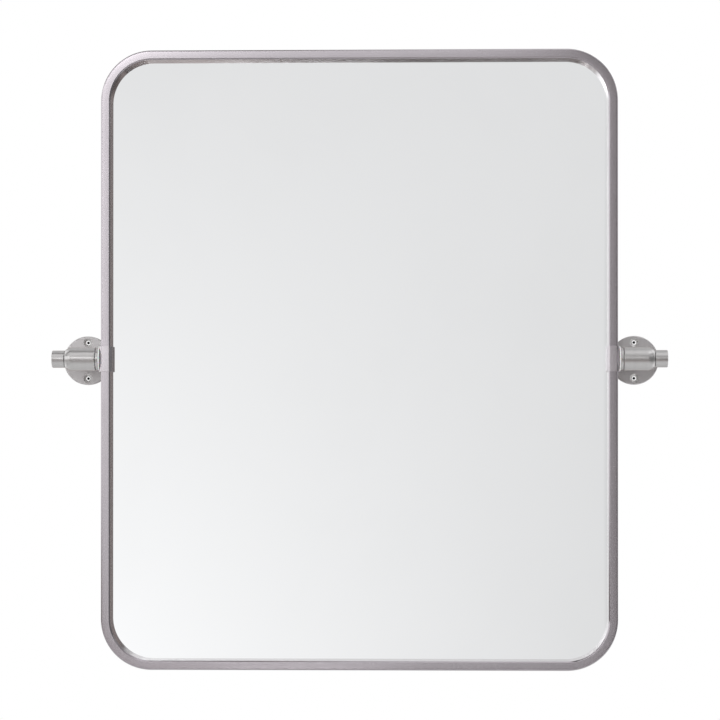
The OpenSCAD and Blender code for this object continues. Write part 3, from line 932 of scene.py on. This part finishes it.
def in_countersink(face):
    across = face.center.x - POST_X
    off_hole = min(math.hypot(across, face.center.z - hole_z) for hole_z in HOLE_PLACES)
    return off_hole < COUNTERSINK_R and abs(face.normal.y) < 0.95


two_finishes(plate, plate_nickel, cut_nickel, in_countersink)
both_sides(plate, "wall_plate", "plate_nickel")

# %% Post screw
SCREW_TIP = 0.5 * MM
POST_RECESS = (2.3 * MM, 0.55 * MM, 1.6 * MM)

post_screw = turn_on_post("plate_screw", [
    (head_y, 0), (head_y, POST_HEAD_R), (head_y - (POST_HEAD_R - POST_SCREW_R), POST_SCREW_R),
    (screw_low.y + SCREW_TIP, POST_SCREW_R), (screw_low.y, POST_SCREW_R - SCREW_TIP), (screw_low.y, 0)],
    sides=48)
cross_recess(post_screw, POST_X, head_y, *POST_RECESS)
both_sides(post_screw, "post_screw", "zinc_steel", zinc)

# %% [markdown]
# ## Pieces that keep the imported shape
# The board and the small parts inside the pivots are right as they are and only need a finish.

# %% Finish the kept pieces
KEPT = {"backing_board": fibre_board}
for side in ("left", "right"):
    for name in ("pivot_block", "spring_washer", "pivot_stud"):
        KEPT[side + "_" + name] = zinc
for name, finish in KEPT.items():
    for material_slot in nodes[name].material_slots:
        material_slot.material = finish
print("kept:", sorted(KEPT))

# %% [markdown]
# ## The studio
# The photograph was taken against white, with pale cards round the camera and a dark room to its
# right. The glass and the bent metal each see their own part of that room, so the world holds it
# for glossy rays as soft-edged cards, placed by the direction in which they are seen. Every card
# has a name and a level, and where two overlap their lights add up. Only the wide card that the
# glass shows hides what is behind it. Dim light from near the camera is a little warm. The camera
# itself sees plain white, and every other ray an even light.

# %% The soft edges of a card
card_edge, given, out = new_group(
    "card_edge",
    [("Value", "NodeSocketFloat", 0.0), ("From", "NodeSocketFloat", 0.0), ("To", "NodeSocketFloat", 1.0),
     ("Softness", "NodeSocketFloat", 0.05)],
    ["Inside"])


def ramp_at(tree, value, edge, softness):
    """Rises smoothly from 0 to 1 where the value passes an edge."""
    low = maths(tree, "SUBTRACT", edge, softness)
    high = maths(tree, "ADD", edge, softness)
    made = node(tree, "ShaderNodeMapRange", {"Value": value, "From Min": low, "From Max": high},
                interpolation_type="SMOOTHSTEP")
    return made.outputs["Result"]


opens = ramp_at(card_edge, given["Value"], given["From"], given["Softness"])
closes = ramp_at(card_edge, given["Value"], given["To"], given["Softness"])
feed(card_edge, maths(card_edge, "SUBTRACT", opens, closes), out["Inside"])

# %% A world that is lit by direction
world = bpy.data.worlds.new("studio")
bpy.context.scene.world = world
world.use_nodes = True
tree = world.node_tree
background = tree.nodes["Background"]
direction = node(tree, "ShaderNodeSeparateXYZ", {0: node(tree, "ShaderNodeTexCoord").outputs["Generated"]})
look_x, look_y, look_z = direction.outputs
# a limit beyond every direction, for a card that has no edge on that side
END = 2.0


def lay(under, mask, level):
    """Lays a level over what is under it, where the mask is 1."""
    made = node(tree, "ShaderNodeMix", {0: mask, 2: under, 3: level})
    return made.outputs[0]


def between(value, low, high, softness):
    """A mask of the directions where a value is between two soft limits."""
    return use_group(tree, card_edge, {"Value": value, "From": low, "To": high,
                                       "Softness": softness})["Inside"]


def window(across, upward, softness):
    """A mask of the directions between two limits of look_x and two of look_z."""
    return maths(tree, "MULTIPLY", between(look_x, *across, softness), between(look_z, *upward, softness))


def light(name, under, level, across, upward, softness=0.05):
    """Adds the light of one named card to what is under it."""
    lit = maths(tree, "MULTIPLY", window(across, upward, softness), level)
    lit.node.label = name
    return maths(tree, "ADD", under, lit)


def graded(value, first, last, first_level, last_level):
    """A level that changes evenly as a value goes from first to last."""
    return node(tree, "ShaderNodeMapRange", {"Value": value, "From Min": first, "From Max": last,
                                             "To Min": first_level, "To Max": last_level}).outputs["Result"]


# %% The room behind the camera
DARK_ROOM = 0.03
SILL_HEIGHT = (-0.12, -0.105)
SHARP = 0.004

left_level = graded(look_z, -0.10, 0.08, 0.75, 3.05)
room = light("left wall", DARK_ROOM, 1.4, (-END, -0.42), (-0.05, 0.38), 0.04)
room = light("left curtain", room, 0.55, (-0.42, -0.21), (-0.03, 0.38), 0.03)
room = light("left strip", room, left_level, (-0.21, -0.12), (-0.085, 0.30), 0.03)
room = light("left bench", room, 0.60, (-END, -0.08), (-0.42, -0.12))
room = light("left floor", room, 0.65, (-END, -0.15), (-0.65, -0.42))
room = light("sill", room, 2.1, (-0.10, 0.09), SILL_HEIGHT, SHARP)
room = light("left sill", room, 3.1, (-0.085, -0.02), SILL_HEIGHT, SHARP)
room = light("top card", room, 1.85, (-0.22, 0.06), (0.18, 0.30), 0.03)
room = light("upper card", room, 0.85, (-0.22, 0.085), (0.30, 0.52), 0.03)
room = light("top left strip", room, 1.5, (-0.13, -0.05), (0.14, 0.19), 0.015)
room = light("ceiling", room, 1.10, (-0.05, 0.20), (0.52, END))
room = light("right ceiling", room, 1.10, (0.20, END), (0.75, END))
room = light("right strip", room, 0.30, (0.12, 0.18), (-0.15, 0.25), 0.01)
room = light("right bench", room, 0.32, (-0.09, 0.20), (-0.42, -0.19), 0.02)
room = light("right floor", room, 0.50, (0.0, END), (-END, -0.42))
room = light("right wall", room, 0.20, (0.25, END), (-0.42, 0.50))

# %% The wide card that the glass shows, a little brighter at its left and at its foot
CARD_MIDDLE = 0.864
CARD_ACROSS = -0.83
CARD_UPWARD = -0.31
CARD_TWIST = 4.3

slope = maths(tree, "ADD", maths(tree, "MULTIPLY", look_x, CARD_ACROSS),
              maths(tree, "MULTIPLY", look_z, CARD_UPWARD))
twist = maths(tree, "MULTIPLY", maths(tree, "MULTIPLY", look_x, look_z), CARD_TWIST)
glass_level = maths(tree, "ADD", maths(tree, "ADD", slope, twist), CARD_MIDDLE)
room = lay(room, window((-0.142, 0.081), (-0.105, 0.165), SHARP), glass_level)
print("cards:", [made.label for made in tree.nodes if made.label])

# %% The wall side, and what each kind of ray sees
WALL_LEVEL = 0.4
EVEN_LEVEL = 0.75

wall_side = light("wall, right", WALL_LEVEL, 0.85, (0.50, END), (-END, END))
wall_side = light("wall, left", wall_side, 0.85, (-END, -0.50), (-END, END))
wall_side = light("wall, above", wall_side, 0.30, (-0.50, 0.50), (0.50, END))
studio = lay(wall_side, between(look_y, -END, 0.0, 0.05), room)
path = node(tree, "ShaderNodeLightPath")
shiny = maths(tree, "MAXIMUM", path.outputs["Is Glossy Ray"], path.outputs["Is Transmission Ray"])
level = lay(EVEN_LEVEL, shiny, studio)
level = lay(level, path.outputs["Is Camera Ray"], 1.0)
feed(tree, level, background.inputs["Strength"])

# %% The dim light near the camera is warm, as the photo's dark rail and inner walls are
WARM = (1.13, 0.97, 0.93, 1)
BRIGHT_FROM = 0.55
FAR_RIGHT_FROM = 0.28

is_bright = ramp_at(tree, level, BRIGHT_FROM, 0.15)
is_far_right = ramp_at(tree, look_x, FAR_RIGHT_FROM, 0.05)
neutral = maths(tree, "MAXIMUM", is_bright, is_far_right)
tint = node(tree, "ShaderNodeMix", {"Factor": neutral, "A": WARM, "B": (1, 1, 1, 1)}, data_type="RGBA")
feed(tree, tint.outputs[2], background.inputs["Color"])

# %% [markdown]
# ## Lamps, floor and the shade behind the holes
# Two wide lamps light the piece softly from above, one on either side. The floor is a pale disc
#  well below it that fades out towards its rim. In the photograph the screw holes are dark, because
#  they show the wall in the plate's own shade, so a small near-black disc of painted shade is staged behind
#  each hole.

# %% Two soft lamps
def soft_lamp(name, place, width, power):
    """A wide round lamp that looks at the origin."""
    bulb = bpy.data.lights.new(name, "AREA")
    bulb.shape = "DISK"
    bulb.size = width
    bulb.energy = power
    lamp = bpy.data.objects.new(name, bulb)
    lamp.location = place
    lamp.rotation_euler = (-Vector(place)).to_track_quat("-Z", "Y").to_euler()
    lamp.visible_camera = False
    bpy.context.scene.collection.objects.link(lamp)
    print(name, "of", power, "W,", width, "m wide")


soft_lamp("key_lamp", place=(-1.4, -1.6, 1.8), width=2.4, power=13)
soft_lamp("fill_lamp", place=(1.6, -1.2, 1.4), width=2.0, power=5)

# %% A floor that fades towards its rim
FLOOR_Z = -0.55
FLOOR_R = 1.3
FADE_FROM = 0.45 * FLOOR_R

floor = begin("floor", bpy.ops.mesh.primitive_circle_add, vertices=64, radius=FLOOR_R,
              fill_type="NGON", location=(0, 0, FLOOR_Z))
bpy.ops.object.mode_set(mode="OBJECT")
floor_material, tree, shader, where = plain_material("pale_floor", 0.9)
shader.inputs["Base Color"].default_value = (0.93, 0.93, 0.93, 1)
shader.inputs["Specular IOR Level"].default_value = 0.0
distance = node(tree, "ShaderNodeVectorMath", {0: where, 1: (0, 0, FLOOR_Z)}, operation="DISTANCE")
fade = node(tree, "ShaderNodeMapRange", {"Value": distance.outputs["Value"], "From Min": FADE_FROM,
                                         "From Max": FLOOR_R, "To Min": 1.0, "To Max": 0.0},
            interpolation_type="SMOOTHSTEP")
feed(tree, fade.outputs["Result"], shader.inputs["Alpha"])
floor.data.materials.append(floor_material)

# %% Painted shade behind the screw holes: a near-black disc for the wall in the plate's shade
painted_shade_wall, tree, shader, where = plain_material("painted_shade_wall", 0.9)
# the near-black colour is painted shade, standing for the wall in the plate's own shade
shader.inputs["Base Color"].default_value = (0.03, 0.03, 0.03, 1)
shader.inputs["Specular IOR Level"].default_value = 0.0
# seen from behind, where no wall is modelled, the patches must not cover the holes
from_behind = node(tree, "ShaderNodeNewGeometry").outputs["Backfacing"]
feed(tree, maths(tree, "SUBTRACT", 1.0, from_behind), shader.inputs["Alpha"])
SHADE_R = 1.4 * MM
SHADE_Y = 0.2 * MM

# each disc is painted shade behind one hole, not a part of the wall's own colour
for side in (-1, 1):
    for hole_z in HOLE_PLACES:
        patch = begin("painted_shade_patch", bpy.ops.mesh.primitive_circle_add, vertices=32, radius=SHADE_R,
                      fill_type="NGON", location=(side * POST_X, SHADE_Y, hole_z),
                      rotation=(math.pi / 2, 0, 0))
        bpy.ops.object.mode_set(mode="OBJECT")
        patch.data.materials.append(painted_shade_wall)
print("staged:", "floor and", 2 * len(HOLE_PLACES), "wall patches")

# %% [markdown]
# ## The camera
# The place of the camera was worked out from the outline of the frame, which leans by a pixel or
# two, and from how far the wall plates shift against the barrels in front of them.

# %% Place the camera
CAMERA_PLACE = (0.0606, -2.363, -0.0694)
CAMERA_YAW = math.radians(1.478)
CAMERA_PITCH = math.radians(0.304)
FOCAL_PIXELS = 2345
PICTURE_PIXELS = 720
SHIFT_PIXELS = 57

lens = bpy.data.cameras.new("camera")
lens.sensor_width = 36
lens.lens = FOCAL_PIXELS / PICTURE_PIXELS * lens.sensor_width
lens.shift_y = SHIFT_PIXELS / PICTURE_PIXELS
camera = bpy.data.objects.new("camera", lens)
camera.location = CAMERA_PLACE
camera.rotation_euler = (math.pi / 2 + CAMERA_PITCH, 0, CAMERA_YAW)
bpy.context.scene.collection.objects.link(camera)
bpy.context.scene.camera = camera
bpy.context.scene.view_settings.view_transform = "Standard"
print("camera at", CAMERA_PLACE, "with a lens of", round(lens.lens, 1), "mm")
